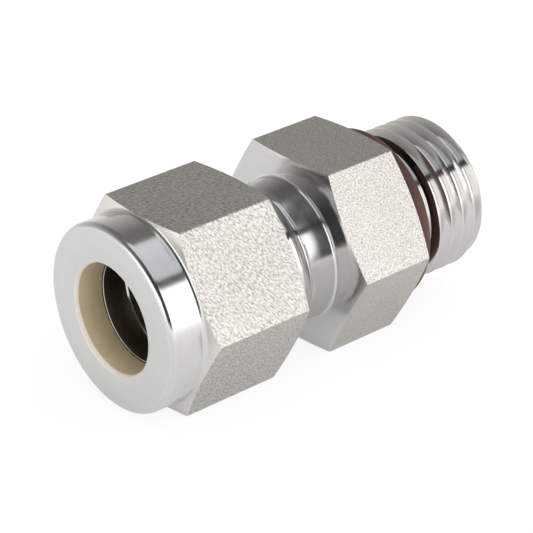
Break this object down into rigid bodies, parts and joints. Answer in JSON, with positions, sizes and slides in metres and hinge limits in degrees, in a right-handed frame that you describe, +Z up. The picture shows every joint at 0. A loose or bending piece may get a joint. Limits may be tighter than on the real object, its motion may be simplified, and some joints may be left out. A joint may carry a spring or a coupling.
{
  "type": "bored-through male connector",
  "caption": "Compression tube fitting with a hex body bored straight through, a straight male thread with an O-ring seal, and a collared hex nut over a pair of ferrules.",
  "frame": {"origin": "on the bore axis, in the plane of the hex face that the O-ring seals on", "axes": "+X along the bore, from the nut towards the male thread; +Z up, square to the upper hex flat; the part lies on its lower hex flats"},
  "size_m": [0.0375, 0.0202, 0.0174],
  "materials": {
    "body_steel": "turned ends and neck, lightly grained hex flats",
    "nut_steel": "coarsely grained hex flats, satin front face, polished collar",
    "ferrule_steel": "turned",
    "o_ring_rubber": "matte reddish brown"
  },
  "bodies": {
    "connector": {"body": "body_steel", "o_ring": "o_ring_rubber"},
    "ferrules": {"front_ferrule": "ferrule_steel", "back_ferrule": "ferrule_steel"},
    "nut": {"nut": "nut_steel"}
  },
  "joints": [
    {"name": "ferrule_slide", "type": "slide", "parent": "connector", "child": "ferrules", "axis": [-1, 0, 0], "range_m": [0, 0.00763]},
    {"name": "nut_turn", "type": "hinge", "parent": "ferrules", "child": "nut", "pos_m": [-0.0208, 0, 0], "axis": [-1, 0, 0], "range_deg": [0, 2160]}
  ],
  "couplings": [
    {"joint": "ferrule_slide", "follows": "nut_turn", "m_per_rad": 0.00020213}
  ]
}
